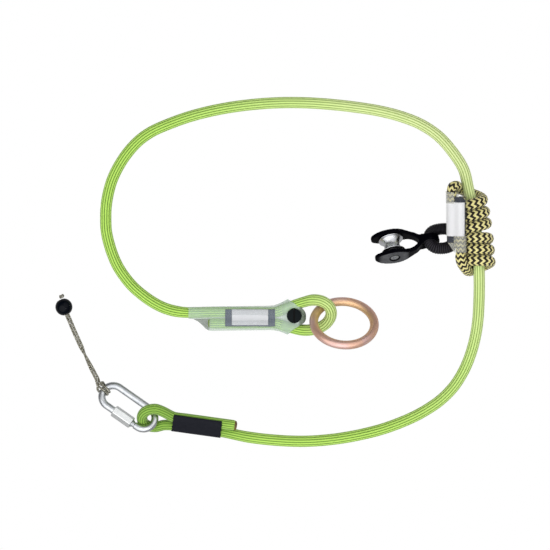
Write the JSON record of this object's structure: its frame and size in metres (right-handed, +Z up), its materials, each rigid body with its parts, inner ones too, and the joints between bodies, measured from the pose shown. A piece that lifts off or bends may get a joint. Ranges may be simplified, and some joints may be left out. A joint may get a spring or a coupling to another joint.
{
  "type": "pulley saver",
  "caption": "Adjustable friction saver: a rope with a steel ring on one sewn eye, a quick link and pull ball on the other, and a pulley on a sliding friction hitch.",
  "frame": {"origin": "centre of the base of the bounding box, without the rope and the pull cord, on the surface that the part lies on", "axes": "+X from the pull ball towards the friction hitch, +Y from the link end towards the open loop of the rope, +Z up"},
  "size_m": [0.425, 0.3373, 0.0499],
  "materials": {
    "lime_rope": "woven sheath of lime green yarns with fine darker green tracers along it",
    "clear_sleeve": "clear, slightly milky heat-shrink tube, satin",
    "navy_thread": "dense rows of navy bar-tack thread",
    "black_thread": "dense slanted rows of black thread",
    "white_label": "plain white film",
    "gloss_black": "polished black",
    "bright_zinc": "bright zinc plate",
    "rose_zinc": "rose-gold zinc passivate, polished",
    "speckled_cord": "braided cord speckled olive, grey and white",
    "zigzag_cord": "braided cord with black and pale yellow chevrons",
    "black_sheath": "finely ribbed black sheath, satin",
    "black_anodised": "black anodised, satin",
    "silver_sheave": "polished silver",
    "bush_bronze": "sintered bronze",
    "steel": "dark bright steel",
    "washer_nylon": "black nylon"
  },
  "bodies": {
    "rope": {"main_rope": "lime_rope", "ring_end_sleeve": "clear_sleeve", "ring_end_stitching": "navy_thread", "ring_end_stitching_under": "navy_thread", "ring_end_label": "white_label", "keeper_screw": "gloss_black", "keeper_barrel": "gloss_black", "link_end_stitching": "black_thread"},
    "ring": {"steel_ring": "rose_zinc"},
    "link": {"link_body": "bright_zinc"},
    "nut": {"link_nut": "bright_zinc"},
    "cord": {"pull_cord": "speckled_cord", "ball_knot": "speckled_cord"},
    "ball": {"ball": "gloss_black"},
    "hitch": {"hitch_cord": "zigzag_cord", "hitch_sleeve": "clear_sleeve", "hitch_stitching": "navy_thread", "hitch_label": "white_label", "bight_sheath": "black_sheath"},
    "pulley": {"pulley_body": "black_anodised", "axle": "steel", "axle_nut": "steel", "sheave_washer_near": "washer_nylon", "sheave_washer_far": "washer_nylon"},
    "sheave": {"sheave": "silver_sheave", "sheave_bush": "bush_bronze"}
  },
  "joints": [
    {"name": "ring_turn", "type": "hinge", "parent": "rope", "child": "ring", "pos_m": [0.06705, -0.01289, 0.02498], "axis": [0.0616, 0.7044, 0.7071], "continuous": true},
    {"name": "link_swing", "type": "hinge", "parent": "rope", "child": "link", "pos_m": [-0.12605, -0.10428, 0.0134], "axis": [0.0064, 0.2484, 0.9686], "range_deg": [-10, 60]},
    {"name": "nut_slide", "type": "slide", "parent": "link", "child": "nut", "axis": [-0.8141, 0.5637, -0.1392], "range_m": [0, 0.0085]},
    {"name": "cord_swing", "type": "hinge", "parent": "link", "child": "cord", "pos_m": [-0.1556, -0.08382, 0.00835], "axis": [0.0064, 0.2484, 0.9686], "range_deg": [-15, 70]},
    {"name": "ball_slide", "type": "slide", "parent": "cord", "child": "ball", "axis": [0.3939, -0.9191, 0], "range_m": [0, 0.015]},
    {"name": "hitch_slide", "type": "hinge", "parent": "rope", "child": "hitch", "pos_m": [-0.21754, 0.02388, 0.0163], "axis": [0, 0, 1], "range_deg": [-6, 2]},
    {"name": "pulley_swing", "type": "hinge", "parent": "hitch", "child": "pulley", "pos_m": [0.14929, 0.06686, 0.01259], "axis": [-0.1822, 0.8504, -0.4935], "range_deg": [-90, 90]},
    {"name": "sheave_spin", "type": "hinge", "parent": "pulley", "child": "sheave", "pos_m": [0.1134, 0.06138, 0.0164], "axis": [0.1822, -0.8504, 0.4935], "continuous": true}
  ]
}
